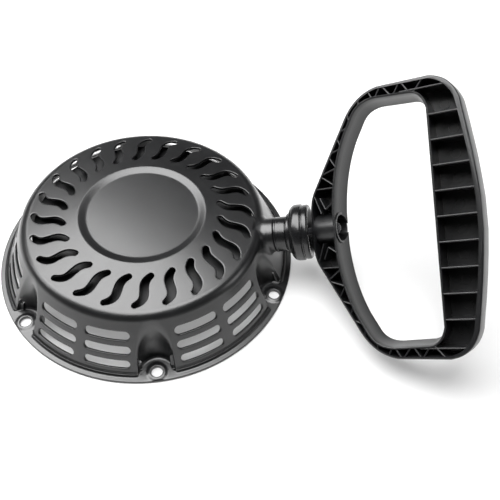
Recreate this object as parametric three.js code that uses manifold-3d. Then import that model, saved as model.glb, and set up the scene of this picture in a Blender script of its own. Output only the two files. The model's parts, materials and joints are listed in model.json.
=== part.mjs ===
// Recoil (pull-cord) starter. Millimetres, +Z up along the reel axis, z = 0 on the flange underside.
import * as THREE from "three";
import { mergeVertices } from "three/addons/utils/BufferGeometryUtils.js";
import Module from "manifold-3d";

const wasm = await Module();
wasm.setup();

// ---- driving dimensions -------------------------------------------------------------------------
const SHEET = 1.6;
const FLANGE_R = 95;
const WALL_BASE_R = 91;
const WALL_SLOPE = 0.457;
const SHOULDER = { r: 69.25, z: 32.4, radius: 7 };
const TOP_TILT = 0.0988;
const TOP_Z40 = 42.27;
const CREST_R = 39.3;
const DISC_R = 34.75;
const DISC_Z = 41.1;
const HOLES = 6;
const HOLE_AZ = 26.4;
const HOLE_PCR = 89.1;
const HOLE_R = 3.4;
const NOTCH_R = 9.3;
const NOTCH_FLARE = 0.135;
const VANE_SLOTS = 24;
const VANE_AZ = 9.4;
const SIDE_ROWS = [[6.3, 11.2, 18], [15, 20.2, 19], [24, 29.5, 19]];
const COLUMN_AZ = 11.35;

const GUIDE_AZ = -16.67;
const GUIDE_EL = 15;
const GUIDE_ROOT = new THREE.Vector3(75.11, -22.49, 29.1);
const BOSS_R = 10.9;
const TAIL_R = 8.9;
const GAP = 0.3;

const SPINDLE_R = 7;
const SPINDLE_TOP = 39.2;
const SPINDLE_END = 12.4;
const REEL_BORE_R = 8.9;
const FLANGE_REEL_R = 68.5;
const CORE_R = 36.3;
const WELL_R = 25.5;
const ROPE_R = 2.2;
const ROPE_Z = 28;
const WIND_OUT_R = 51.3;
const WIND_PITCH = 4.6;
const WIND_TURNS = 2.75;
const PAWL_PIN_AZ = [70, 250];
const PAWL_PIN_PCR = 24;

const HANDLE_AT = new THREE.Vector3(84.4, -20.35, 25.54);
const HANDLE_D = new THREE.Vector3(0.7787, -0.416, 0.4697).normalize();
const HANDLE_N = new THREE.Vector3(-0.6222, -0.4152, 0.6637).normalize();
const HANDLE_FRONT = 9;
const HANDLE_BACK = 7.4;
const HANDLE_WALL = 1.7;
const GRIP_RIB_PITCH = 14.2;
const TUBE_R = 9.1;
const TUBE_BORE_R = 7.9;
const KNOT_SEAT = 30.5;

const group = new THREE.Group();
const V = (x, y, z) => new THREE.Vector3(x, y, z);
const P = (x, y) => new THREE.Vector2(x, y);
const rad = THREE.MathUtils.degToRad;
const polar = (r, az, z) => V(r * Math.cos(rad(az)), r * Math.sin(rad(az)), z);

// ---- solids -------------------------------------------------------------------------------------
function toSolid(geometry) {
  const flat = geometry.clone();
  flat.deleteAttribute("normal");
  flat.deleteAttribute("uv");
  const g = mergeVertices(flat, 1e-4);
  const index = [];
  for (let i = 0; i < g.index.count; i += 3) {
    const [a, b, c] = [g.index.getX(i), g.index.getX(i + 1), g.index.getX(i + 2)];
    if (a !== b && b !== c && c !== a) index.push(a, b, c);
  }
  const volume = signedVolume(g.attributes.position, index);
  if (volume < 0) index.reverse();
  return new wasm.Manifold(new wasm.Mesh({
    numProp: 3,
    vertProperties: new Float32Array(g.attributes.position.array),
    triVerts: new Uint32Array(index),
  }));
}

function signedVolume(position, index) {
  const [a, b, c] = [V(), V(), V()];
  let sum = 0;
  for (let i = 0; i < index.length; i += 3) {
    a.fromBufferAttribute(position, index[i]);
    b.fromBufferAttribute(position, index[i + 1]);
    c.fromBufferAttribute(position, index[i + 2]);
    sum += a.dot(b.cross(c));
  }
  return sum;
}

function toGeometry(solid) {
  const mesh = solid.getMesh();
  const g = new THREE.BufferGeometry();
  g.setAttribute("position", new THREE.BufferAttribute(new Float32Array(mesh.vertProperties), 3));
  g.setIndex(new THREE.BufferAttribute(new Uint32Array(mesh.triVerts), 1));
  g.computeVertexNormals();
  return g;
}

function add(name, solid, color, roughness, metalness) {
  const material = new THREE.MeshStandardMaterial({ color, roughness, metalness });
  const mesh = new THREE.Mesh(toGeometry(solid), material);
  mesh.name = name;
  group.add(mesh);
}

function frameMatrix(origin, zAxis, xAxis) {
  const z = zAxis.clone().normalize();
  const x = xAxis.clone().addScaledVector(z, -xAxis.dot(z)).normalize();
  const y = new THREE.Vector3().crossVectors(z, x);
  return new THREE.Matrix4().makeBasis(x, y, z).setPosition(origin);
}

// Body of revolution about +Z from [radius, z] pairs; a ring closes its own profile.
function lathe(profile, segments, matrix) {
  const g = new THREE.LatheGeometry(profile.map(([r, z]) => P(r, z)), segments);
  g.rotateX(Math.PI / 2);
  if (matrix) g.applyMatrix4(matrix);
  return toSolid(g);
}

const ring = (profile, segments, matrix) => lathe([...profile, profile[0]], segments, matrix);
const disc = (r, z0, z1, segments = 32, matrix = null) =>
  lathe([[0, z0], [r, z0], [r, z1], [0, z1]], segments, matrix);
const tube = (r0, r1, z0, z1, segments = 32, matrix = null) =>
  ring([[r0, z0], [r1, z0], [r1, z1], [r0, z1]], segments, matrix);

function prism(points, z0, z1, matrix) {
  const g = new THREE.ExtrudeGeometry(new THREE.Shape(points), { depth: z1 - z0, bevelEnabled: false });
  g.translate(0, 0, z0);
  if (matrix) g.applyMatrix4(matrix);
  return toSolid(g);
}

function bar(x0, x1, y0, y1, z0, z1, matrix) {
  const g = new THREE.BoxGeometry(x1 - x0, y1 - y0, z1 - z0);
  g.translate((x0 + x1) / 2, (y0 + y1) / 2, (z0 + z1) / 2);
  if (matrix) g.applyMatrix4(matrix);
  return toSolid(g);
}

// Straight-sided bar of square-cut ends between two points of a plane, width w.
function strut(a, b, w, z0, z1, matrix) {
  const along = P(b[0] - a[0], b[1] - a[1]).normalize();
  const side = P(-along.y, along.x).multiplyScalar(w / 2);
  const corners = [[a, 1], [b, 1], [b, -1], [a, -1]].map(([p, k]) =>
    P(p[0] + k * side.x, p[1] + k * side.y));
  return prism(corners, z0, z1, matrix);
}

const rotZ = (deg) => new THREE.Matrix4().makeRotationZ(rad(deg));

// Round cord of the given radius along a curve.
function cord(curve, radius, steps, sides) {
  const section = new THREE.Shape();
  section.absarc(0, 0, radius, 0, Math.PI * 2, false);
  const g = new THREE.ExtrudeGeometry(section, {
    steps,
    curveSegments: sides / 2,
    extrudePath: curve,
    bevelEnabled: false,
  });
  return toSolid(g);
}

class Helix extends THREE.Curve {
  constructor(radiusAt, zAt, fromDeg, toDeg) {
    super();
    Object.assign(this, { radiusAt, zAt, fromDeg, toDeg });
  }

  getPoint(t) {
    return polar(this.radiusAt(t), this.fromDeg + (this.toDeg - this.fromDeg) * t, this.zAt(t));
  }
}

// Stadium outline, length x width, centred on the origin.
function stadium(length, width, segments = 2) {
  const r = width / 2;
  const points = [];
  for (const side of [1, -1]) {
    for (let i = 0; i <= segments; i++) {
      const a = side * (-Math.PI / 2) + (i * Math.PI) / segments;
      const x = side * (length / 2 - r);
      points.push(P(x + r * Math.cos(a), r * Math.sin(a)));
    }
  }
  return points;
}

// ---- housing ------------------------------------------------------------------------------------
function shellProfile(inset) {
  const wall = Math.atan(WALL_SLOPE);
  const top = Math.PI / 2 - Math.atan(TOP_TILT);
  const radius = SHOULDER.radius - inset;
  const points = [];
  for (let i = 0; i <= 3; i++) {
    const a = wall + ((top - wall) * i) / 3;
    points.push([SHOULDER.r + radius * Math.cos(a), SHOULDER.z + radius * Math.sin(a)]);
  }
  points.push([CREST_R, TOP_Z40 - TOP_TILT * (CREST_R - 40) - inset]);
  points.push([DISC_R, DISC_Z - inset]);
  points.push([0, DISC_Z + 0.4 - inset]);
  return points;
}

const holeAzimuths = Array.from({ length: HOLES }, (_, i) => HOLE_AZ + (360 / HOLES) * i);

function notchCutter(az, grow, floor) {
  const at = polar(HOLE_PCR, az, 0);
  const matrix = new THREE.Matrix4().makeTranslation(at.x, at.y, 0);
  const radiusAt = (z) => NOTCH_R + NOTCH_FLARE * (z - SHEET) + grow;
  return lathe([[0, floor], [radiusAt(floor), floor], [radiusAt(46), 46], [0, 46]], 16, matrix);
}

// S-shaped vane slot: a near-radial body whose two ends hook opposite ways.
function vaneOutline() {
  const steps = 4;
  const centre = (u) => {
    const r = 57.65 + 10.3 * u;
    return polar(r, -4.3 * u * u * u * Math.abs(u) ** 0.4 - 0.2 * u, 0);
  };
  const sides = [[], []];
  for (let i = 0; i <= steps; i++) {
    const u = -1 + (2 * i) / steps;
    const p = centre(u);
    const t = centre(u + 0.01).sub(centre(u - 0.01)).normalize();
    const half = 2.45 * Math.sqrt(1 - 0.72 * u ** 4);
    sides[0].push(P(p.x - t.y * half, p.y + t.x * half));
    sides[1].push(P(p.x + t.y * half, p.y - t.x * half));
  }
  const tipOut = centre(1.1);
  const tipIn = centre(-1.1);
  return [P(tipIn.x, tipIn.y), ...sides[1], P(tipOut.x, tipOut.y), ...sides[0].reverse()];
}

const guideAxis = polar(Math.cos(rad(GUIDE_EL)), GUIDE_AZ, Math.sin(rad(GUIDE_EL)));
const guideSide = polar(1, GUIDE_AZ + 90, 0);
const guideFrame = frameMatrix(GUIDE_ROOT, guideAxis, guideSide);
const guidePoint = (side, s) => V(side, 0, s).applyMatrix4(guideFrame);

function housing() {
  const wallAcross = SHEET / Math.cos(Math.atan(WALL_SLOPE));
  const wallInner = (z) => WALL_BASE_R + WALL_SLOPE * (SHEET - z) - wallAcross;
  let solid = lathe([
    [0, 0], [FLANGE_R, 0], [FLANGE_R, SHEET], [WALL_BASE_R, SHEET], ...shellProfile(0),
  ], 42);
  solid = solid.add(disc(BOSS_R, -8, 5, 24, guideFrame));
  let inside = lathe([[0, -1], [wallInner(-1), -1], ...shellProfile(SHEET)], 42);
  for (const az of holeAzimuths) {
    solid = solid.subtract(notchCutter(az, 0, SHEET));
    inside = inside.subtract(notchCutter(az, SHEET, -2));
  }
  for (const az of holeAzimuths) {
    const at = polar(HOLE_PCR, az, 0);
    const matrix = new THREE.Matrix4().makeTranslation(at.x, at.y, 0);
    solid = solid.add(disc(5.7, SHEET / 2, SHEET + 0.5, 12, matrix));
  }
  solid = solid.subtract(inside);
  for (const az of holeAzimuths) {
    const at = polar(HOLE_PCR, az, 0);
    const matrix = new THREE.Matrix4().makeTranslation(at.x, at.y, 0);
    solid = solid.subtract(disc(HOLE_R, -1, 4, 12, matrix));
  }
  solid = solid.subtract(disc(TAIL_R + GAP, -12, 6, 24, guideFrame));
  const vane = vaneOutline();
  for (let i = 0; i < VANE_SLOTS; i++) {
    solid = solid.subtract(prism(vane, 34.5, 46, rotZ(VANE_AZ + (360 / VANE_SLOTS) * i)));
  }
  for (const az of holeAzimuths) {
    const middle = az + 30;
    const nearGuide = Math.abs(((middle - GUIDE_AZ + 540) % 360) - 180) < 30;
    if (nearGuide) continue;
    for (const side of [-COLUMN_AZ, COLUMN_AZ]) {
      for (const [z0, z1, span] of SIDE_ROWS) {
        const zMid = (z0 + z1) / 2;
        const length = 2 * (WALL_BASE_R - WALL_SLOPE * zMid) * Math.sin(rad(span / 2));
        const out = polar(1, middle + side, 0);
        const matrix = frameMatrix(V(0, 0, zMid), out, polar(1, middle + side + 90, 0));
        solid = solid.subtract(prism(stadium(length, z1 - z0), 66, 100, matrix));
      }
    }
  }
  return solid;
}

add("housing", housing(), 0x1b1c1e, 0.42, 0.35);

// ---- spindle post, fixed under the top ----------------------------------------------------------
add("spindle_post", lathe([
  [0, 28], [3.3, 27], [3.3, SPINDLE_END], [SPINDLE_R, SPINDLE_END], [SPINDLE_R, 37.7],
  [12, 37.7], [12, SPINDLE_TOP], [0, SPINDLE_TOP],
], 32).subtract(bar(-1.2, 1.2, 4.5, 9, 26.8, 36.4)), 0x9a9c9e, 0.4, 0.9);

// ---- rope guide in the side boss ----------------------------------------------------------------
function guideProfile() {
  const lip = [];
  for (let i = 0; i <= 3; i++) {
    const a = (Math.PI / 2) * (i / 3);
    lip.push([7.7 - 4 * Math.cos(a), -2.4 - 4 * Math.sin(a)]);
  }
  const flare = [];
  for (let i = 0; i <= 3; i++) {
    const a = (Math.PI / 2) * (i / 3);
    flare.push([12.4 + 5.1 * Math.sin(a), 19.3 - 4.1 * Math.cos(a)]);
  }
  return [
    ...lip, [TAIL_R, -6.2], [TAIL_R, 5.3], [11, 5.3], [11, 6.4], [10.8, 6.6], [10.8, 12.4],
    [10.1, 12.6], [10.1, 13.2], [12.4, 13.5], ...flare, [17.5, 22.8], [16.5, 23.1], [16.5, 23.8],
    [16.9, 24.1], [16.9, 26.5], [16.1, 27.4], [14.4, 27.4], [13.2, 25.5], [6.2, 16], [4.2, 9],
  ];
}
add("rope_guide", ring(guideProfile(), 24, guideFrame), 0x17181a, 0.45, 0.1);
add("guide_retainer", tube(TAIL_R + 0.1, 9.9, -5.95, -5.15, 24, guideFrame), 0x8c8e90, 0.4, 0.9);

// ---- reel ---------------------------------------------------------------------------------------
const windEndAz = GUIDE_AZ + 45;
const windStartAz = windEndAz + 360 * WIND_TURNS;
const knotAz = windStartAz + 5;

function reel() {
  let solid = ring([
    [REEL_BORE_R, 13], [34, 13], [34, 23.4], [FLANGE_REEL_R, 23.4], [FLANGE_REEL_R, 24.7],
    [CORE_R, 25.2], [CORE_R, 30.8], [FLANGE_REEL_R, 31.3], [FLANGE_REEL_R, 32.6], [31.2, 32.6],
    [31.2, 36.8], [WELL_R, 36.8], [WELL_R, 26.2], [REEL_BORE_R, 26.2],
  ], 44);
  for (const az of PAWL_PIN_AZ) {
    const at = polar(PAWL_PIN_PCR, az, 0);
    const matrix = new THREE.Matrix4().makeTranslation(at.x, at.y, 0);
    solid = solid.subtract(disc(2.8, 12, 22, 20, matrix));
    solid = solid.subtract(disc(4.7, 12, 16.8, 16, matrix));
  }
  const knotFrame = rotZ(knotAz);
  const pocket = new THREE.Matrix4().makeTranslation(30.9, 0, 0).premultiply(knotFrame);
  solid = solid.subtract(disc(4.8, 12, 32, 16, pocket));
  solid = solid.subtract(bar(33.5, 40, -4.4, 3, 25.5, 30.5, knotFrame));
  return solid;
}
add("reel", reel(), 0x202124, 0.55, 0.0);
add("reel_bush", tube(SPINDLE_R + 0.15, REEL_BORE_R - GAP, 13, 26.1, 32), 0x9c7a45, 0.35, 0.9);

// ---- recoil spring: flat strip wound from the spindle to the well wall --------------------------
function springSolid() {
  const turns = 6;
  const perTurn = 12;
  const half = 0.35;
  const radiusAt = (k) => 8.5 + 16 * (k / (turns * perTurn)) ** 0.85;
  const outer = [];
  const inner = [];
  for (let k = 0; k <= turns * perTurn; k++) {
    const az = 90 + (360 * k) / perTurn;
    const at = polar(radiusAt(k), az, 0);
    const out = polar(half, az, 0);
    outer.push(P(at.x + out.x, at.y + out.y));
    inner.push(P(at.x - out.x, at.y - out.y));
  }
  const strip = prism([...outer, ...inner.reverse()], 27, 36);
  return strip.add(bar(-0.5, 0.5, 5.2, 8.5, 27, 36));
}
add("recoil_spring", springSolid(), 0x7d8085, 0.3, 0.95);
add("spring_cover", tube(13.2, 31, 37.1, 37.9, 36), 0x8a8c8f, 0.4, 0.9);

// ---- pawl mechanism under the reel --------------------------------------------------------------
const PAWL_Z = [7.8, 12.6];

function pawl(az) {
  const matrix = rotZ(az).multiply(new THREE.Matrix4().makeTranslation(PAWL_PIN_PCR, 0, 0));
  const outline = [P(-4.2, 0)];
  for (let i = 1; i <= 5; i++) {
    const a = Math.PI - (Math.PI * i) / 5;
    outline.push(P(4.2 * Math.cos(a), 4.2 * Math.sin(a)));
  }
  outline.push(P(5.4, -9), P(5.9, -18.6), P(3.4, -19.4), P(-1.4, -13), P(-4.1, -4));
  const body = prism(outline, PAWL_Z[0], PAWL_Z[1], matrix);
  return body.subtract(disc(2.6, 0, 20, 24, matrix));
}

function coil(x, y, radius, wire, z0, z1, turns, perTurn) {
  const helix = new Helix(() => radius, (t) => z0 + (z1 - z0) * t, 0, 360 * turns);
  const spring = cord(helix, wire / 2, Math.round(turns * perTurn), 6);
  return spring.translate([x, y, 0]);
}

PAWL_PIN_AZ.forEach((az, i) => {
  const at = polar(PAWL_PIN_PCR, az, 0);
  const matrix = new THREE.Matrix4().makeTranslation(at.x, at.y, 0);
  add(`pawl_pin_${i + 1}`, disc(2.45, 7.7, 21.5, 20, matrix), 0x8f9194, 0.35, 0.9);
  add(`pawl_${i + 1}`, pawl(az), 0x6f7175, 0.4, 0.85);
  add(`pawl_spring_${i + 1}`, coil(at.x, at.y, 3.6, 0.7, 13.5, 16.2, 2.5, 10), 0xa5a7aa, 0.3, 0.95);
});

function ratchetGuide() {
  let solid = tube(3.5, 17, 6, 7.4, 36);
  for (const az of PAWL_PIN_AZ) {
    const frame = rotZ(az - 34);
    solid = solid.add(bar(15, 27, -5, 5, 6, 7.4, frame));
    solid = solid.add(bar(15.4, 17.2, -4, 4, 6.5, 11.2, frame));
  }
  return solid;
}
add("ratchet_guide", ratchetGuide(), 0x2a2b2d, 0.5, 0.2);
add("friction_spring", coil(0, 0, 7.6, 1.1, 8.2, 10.1, 1.75, 16), 0xa5a7aa, 0.3, 0.95);
add("thrust_washer", tube(3.4, 10.5, 10.9, 12.1, 32), 0x8a8c8f, 0.4, 0.9);
add("friction_washer", tube(3.4, 9, 4.7, 5.7, 32), 0x8a8c8f, 0.4, 0.9);

function centreBolt() {
  const hex = Array.from({ length: 6 }, (_, i) => P(5.8 * Math.cos((i * Math.PI) / 3),
    5.8 * Math.sin((i * Math.PI) / 3)));
  return prism(hex, 0.6, 3.6).add(disc(7, 3.2, 4.4, 30)).add(disc(3, 4, 25.5, 24));
}
add("centre_bolt", centreBolt(), 0x9fa1a4, 0.35, 0.9);

// ---- rope ---------------------------------------------------------------------------------------
const windRadiusAt = (t) => {
  const back = WIND_TURNS * t;
  return WIND_OUT_R - WIND_PITCH * back;
};
const winding = new Helix(windRadiusAt, () => ROPE_Z, windEndAz + 1, windStartAz);
add("rope_winding", cord(winding, ROPE_R, 60, 6), 0x2c2d30, 0.85, 0);

const handleW = new THREE.Vector3().crossVectors(HANDLE_N, HANDLE_D).normalize();
const handleFrame = new THREE.Matrix4().makeBasis(HANDLE_D, handleW, HANDLE_N).setPosition(HANDLE_AT);
const handlePoint = (s) => V(s, 0, 0).applyMatrix4(handleFrame);

// Along the handle axis: x becomes the cross direction, z runs outward from the guide.
const handleAxisFrame = frameMatrix(HANDLE_AT, HANDLE_D, handleW);

function leadCurve() {
  const start = polar(WIND_OUT_R, windEndAz, ROPE_Z);
  const wrap = [];
  for (let i = 0; i <= 3; i++) {
    const a = rad(45) * (1 - i / 3);
    wrap.push(guidePoint(7.7 - 6.35 * Math.cos(a), -2.4 - 6.35 * Math.sin(a)));
  }
  const path = new THREE.CurvePath();
  const middle = start.clone().lerp(wrap[0], 0.5);
  const points = [start, middle, ...wrap, guidePoint(0.6, 8), guidePoint(0.1, 24)];
  points.push(handlePoint(29), handlePoint(KNOT_SEAT + 2.2));
  return new THREE.CatmullRomCurve3(points, false, "centripetal");
}
add("rope_lead", cord(leadCurve(), ROPE_R, 36, 8), 0x2c2d30, 0.85, 0);

// ---- handle -------------------------------------------------------------------------------------
function mirrored(half) {
  const lower = half.map(([s, t]) => P(s, -t)).reverse();
  return [...half.map(([s, t]) => P(s, t)), ...lower];
}

function bend(a, control, b, segments) {
  const curve = new THREE.QuadraticBezierCurve(P(...a), P(...control), P(...b));
  return curve.getPoints(segments).map((p) => [p.x, p.y]);
}

const outerHalf = [
  [26.4, 18.4],
  ...bend([50.4, 60.8], [58.3, 76], [72.8, 78.4], 5),
  ...bend([102.2, 78.6], [115, 76.8], [118.8, 63], 5),
  ...bend([120.2, 53.5], [123.7, 33.6], [125.4, 9], 3),
];
const innerHalf = [
  ...bend([41, 9.6], [42.5, 35], [51.4, 53.4], 4),
  ...bend([57.4, 64.3], [62, 71.6], [71.8, 71.6], 3),
  ...bend([91.4, 70.6], [98.2, 69.8], [100.1, 60.6], 3),
];

// Moves every corner of a closed outline sideways by `by` (positive is inward for the outline given).
function offsetOutline(points, by) {
  const n = points.length;
  return points.map((p, i) => {
    const before = p.clone().sub(points[(i + n - 1) % n]).normalize();
    const after = points[(i + 1) % n].clone().sub(p).normalize();
    const normal = P(before.y + after.y, -before.x - after.x).normalize();
    const stretch = Math.max(0.6, normal.x * after.y - normal.y * after.x);
    return P(p.x + (normal.x * by) / stretch, p.y + (normal.y * by) / stretch);
  });
}

// Stiffening ribs of one arm as [s, t] ends, from the root to the grip corner.
const ARM_RIBS = [
  [[28.6, 20.4], [32.6, 9]], [[32.4, 18.4], [35.4, 11.4]], [[35.4, 11.4], [41, 15.4]],
  [[27.8, 23.8], [42.5, 23.8]], [[41.5, 25.5], [33.4, 31.6]], [[33.4, 31.6], [44.2, 35.2]],
  [[44.2, 35.2], [39.4, 43.4]], [[39.4, 43.4], [48.5, 46.4]], [[48.5, 46.4], [45.4, 54.6]],
  [[45.4, 54.6], [55, 58.6]], [[55, 58.6], [53.4, 68.9]], [[61.2, 67.4], [61.2, 77.6]],
  [[70.4, 70.4], [66.4, 78.6]], [[70.4, 70.4], [75.4, 78.6]], [[81.6, 70.4], [75.4, 78.6]],
  [[81.6, 70.4], [86.6, 78.6]], [[92.6, 69.4], [86.6, 78.6]], [[92.6, 69.4], [100.4, 78.6]],
  [[97.6, 66.4], [109.6, 75.4]], [[99.6, 61.2], [119.6, 61.2]],
];

function handle() {
  const outer = mirrored(outerHalf);
  const inner = mirrored(innerHalf);
  let solid = prism(outer, -HANDLE_BACK, HANDLE_FRONT, handleFrame);
  solid = solid.subtract(prism(inner, -20, 20, handleFrame));
  let pocket = prism(offsetOutline(outer, HANDLE_WALL), 2 - HANDLE_BACK, 12, handleFrame);
  pocket = pocket.subtract(prism(offsetOutline(inner, -HANDLE_WALL), -20, 20, handleFrame));
  for (const side of [1, -1]) {
    for (const [a, b] of ARM_RIBS) {
      const ends = [[a[0], side * a[1]], [b[0], side * b[1]]];
      pocket = pocket.subtract(strut(...ends, 1.1, -HANDLE_BACK, HANDLE_FRONT, handleFrame));
    }
  }
  for (let i = -4; i <= 4; i++) {
    const ends = [[97, GRIP_RIB_PITCH * i], [128, GRIP_RIB_PITCH * i]];
    pocket = pocket.subtract(strut(...ends, 1.2, -HANDLE_BACK, HANDLE_FRONT, handleFrame));
  }
  solid = solid.subtract(pocket);
  solid = solid.add(disc(TUBE_R, 25.5, 41.5, 24, handleAxisFrame));
  solid = solid.subtract(disc(TUBE_BORE_R, KNOT_SEAT, 60, 24, handleAxisFrame));
  return solid.subtract(disc(2.9, 20, 40, 16, handleAxisFrame));
}
add("handle", handle(), 0x1f2023, 0.5, 0);
add("knot_washer", tube(2.7, 6.9, KNOT_SEAT + 0.3, KNOT_SEAT + 1.5, 28, handleAxisFrame), 0x9a9c9e, 0.4, 0.9);

function knot(at) {
  const ball = new THREE.IcosahedronGeometry(4.1, 2);
  ball.translate(at.x, at.y, at.z);
  return toSolid(ball);
}
add("handle_knot", knot(handlePoint(KNOT_SEAT + 6.4)), 0x2c2d30, 0.85, 0);
add("reel_knot", knot(polar(30.9, knotAz, ROPE_Z)), 0x2c2d30, 0.85, 0);

export default group;
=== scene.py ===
import json
import math

import bmesh
import bpy
import numpy as np
from mathutils import Matrix, Quaternion, Vector


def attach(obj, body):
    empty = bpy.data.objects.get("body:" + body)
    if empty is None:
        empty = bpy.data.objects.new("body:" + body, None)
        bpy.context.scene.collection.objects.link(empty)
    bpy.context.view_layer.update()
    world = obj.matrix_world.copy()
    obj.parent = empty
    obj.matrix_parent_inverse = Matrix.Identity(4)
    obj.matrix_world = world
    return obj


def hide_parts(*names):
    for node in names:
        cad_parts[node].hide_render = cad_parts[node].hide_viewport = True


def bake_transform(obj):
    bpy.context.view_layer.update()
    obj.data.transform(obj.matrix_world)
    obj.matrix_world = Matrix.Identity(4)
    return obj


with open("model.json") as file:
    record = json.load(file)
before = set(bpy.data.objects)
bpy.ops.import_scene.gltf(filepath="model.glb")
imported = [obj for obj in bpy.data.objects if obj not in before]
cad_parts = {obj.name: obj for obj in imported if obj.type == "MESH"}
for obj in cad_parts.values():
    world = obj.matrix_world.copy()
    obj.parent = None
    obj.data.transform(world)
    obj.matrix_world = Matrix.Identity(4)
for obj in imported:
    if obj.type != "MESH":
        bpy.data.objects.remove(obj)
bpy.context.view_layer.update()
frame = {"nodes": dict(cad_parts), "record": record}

MM = 0.001
NODES = frame["nodes"]

# ---- dimensions shared with the CAD part, in millimetres ----------------------------------------
SHEET = 1.6
FLANGE_R = 95.0
WALL_BASE_R = 91.0
WALL_SLOPE = 0.457
SHOULDER_R, SHOULDER_Z, SHOULDER_RAD = 69.25, 32.4, 7.0
TOP_TILT, TOP_Z40 = 0.0988, 42.27
CREST_R, DISC_R, DISC_Z = 39.3, 34.75, 41.1
HOLE_AZ, HOLE_PCR, HOLE_R = 26.4, 89.1, 3.4
SECTOR = 60
NOTCH_R, NOTCH_FLARE = 10.1, 0.078
VANE_AZ, VANE_PITCH = 9.4, 15
VANE_MID_R, VANE_REACH, VANE_HOOK_AZ = 57.65, 9.2, 4.6
SIDE_ROWS = ((6.3, 11.2, 18.0), (15.0, 20.2, 19.0), (24.0, 29.5, 19.0))
COLUMN_AZ = 11.35
GUIDE_SECTOR = 5
GUIDE_AZ, GUIDE_EL = -16.67, 15.0
GUIDE_ROOT = np.array((75.11, -22.49, 29.1))
TAIL_R, TAIL_GAP, BOSS_R, BOSS_END = 8.9, 0.3, 10.9, 5.0
ROPE_R, ROPE_Z = 2.2, 28.0
WIND_OUT_R, WIND_PITCH, WIND_TURNS = 51.3, 4.6, 2.75
HANDLE_AT = np.array((84.4, -20.35, 25.54))
HANDLE_D = np.array((0.7787, -0.416, 0.4697))
HANDLE_N = np.array((-0.6222, -0.4152, 0.6637))
HANDLE_FRONT, HANDLE_BACK = 9.0, 7.4
ARM_WALL, GRIP_WALL, INNER_WALL = 1.3, 2.7, 1.1
GRIP_RIB_PITCH, GRIP_RIB_WIDTH, ARM_RIB_WIDTH = 14.2, 1.15, 1.0
TUBE_R, TUBE_BORE_R, TUBE_START, TUBE_END = 9.1, 7.9, 25.5, 41.8
KNOT_SEAT, ROPE_HOLE_R = 30.5, 2.9

HANDLE_D = HANDLE_D / np.linalg.norm(HANDLE_D)
HANDLE_N = HANDLE_N - HANDLE_D * (HANDLE_N @ HANDLE_D)
HANDLE_N = HANDLE_N / np.linalg.norm(HANDLE_N)
HANDLE_W = np.cross(HANDLE_N, HANDLE_D)


def polar(r, az, z=0.0):
    """Point at a radius, an azimuth in degrees and a height."""
    a = math.radians(az)
    return np.array((r * math.cos(a), r * math.sin(a), z))


GUIDE_E = polar(math.cos(math.radians(GUIDE_EL)), GUIDE_AZ, math.sin(math.radians(GUIDE_EL)))
GUIDE_SIDE = polar(1.0, GUIDE_AZ + 90)
GUIDE_UP = np.cross(GUIDE_E, GUIDE_SIDE)


# ---- mesh helpers -------------------------------------------------------------------------------
def add_object(name, data):
    """Object around new data, linked into the scene."""
    obj = bpy.data.objects.new(name, data)
    bpy.context.scene.collection.objects.link(obj)
    return obj


def make_mesh(name, verts, faces, sharp_deg):
    """Object from millimetre points, smooth shaded up to sharp_deg, or all over where that is 0."""
    mesh = bpy.data.meshes.new(name)
    mesh.from_pydata((np.asarray(verts) * MM).tolist(), [], [list(map(int, f)) for f in faces])
    mesh.validate()
    bm = bmesh.new()
    bm.from_mesh(mesh)
    bmesh.ops.remove_doubles(bm, verts=bm.verts, dist=1e-7)
    bmesh.ops.recalc_face_normals(bm, faces=bm.faces)
    bm.to_mesh(mesh)
    bm.free()
    smooth(mesh, sharp_deg)
    return add_object(name, mesh)


def smooth(mesh, sharp_deg):
    """Smooth shading, with edges over sharp_deg kept sharp unless it is 0."""
    mesh.shade_smooth()
    if sharp_deg:
        mesh.set_sharp_from_angle(angle=math.radians(sharp_deg))


def ring_faces(segments, n):
    """Quads of a closed ring of segments, each one a closed profile of n points."""
    faces = []
    for i in range(segments):
        j = (i + 1) % segments
        for k in range(n):
            m = (k + 1) % n
            faces.append((i * n + k, j * n + k, j * n + m, i * n + m))
    return faces


def lathe_data(profile, segments, origin, x_axis, y_axis, z_axis):
    """Closed ring of [radius, height] pairs turned about z_axis."""
    verts = []
    for i in range(segments):
        a = 2 * math.pi * i / segments
        side = math.cos(a) * x_axis + math.sin(a) * y_axis
        for r, z in profile:
            verts.append(origin + side * r + z_axis * z)
    return verts, ring_faces(segments, len(profile))


def round_corners(profile, radius, steps=3):
    """Rounds every corner of 12 degrees or more of a closed [r, z] profile by up to radius."""
    points = [np.array(p, float) for p in profile]
    out = []
    n = len(points)
    for i, p in enumerate(points):
        a, b = points[i - 1] - p, points[(i + 1) % n] - p
        la, lb = np.linalg.norm(a), np.linalg.norm(b)
        turn = math.degrees(math.acos(max(-1, min(1, -(a @ b) / (la * lb)))))
        if turn < 12:
            out.append(p)
            continue
        cut = min(radius, la * 0.45, lb * 0.45)
        s, e = p + a / la * cut, p + b / lb * cut
        for k in range(steps + 1):
            t = k / steps
            out.append((1 - t) ** 2 * s + 2 * t * (1 - t) * p + t * t * e)
    return out


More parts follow.
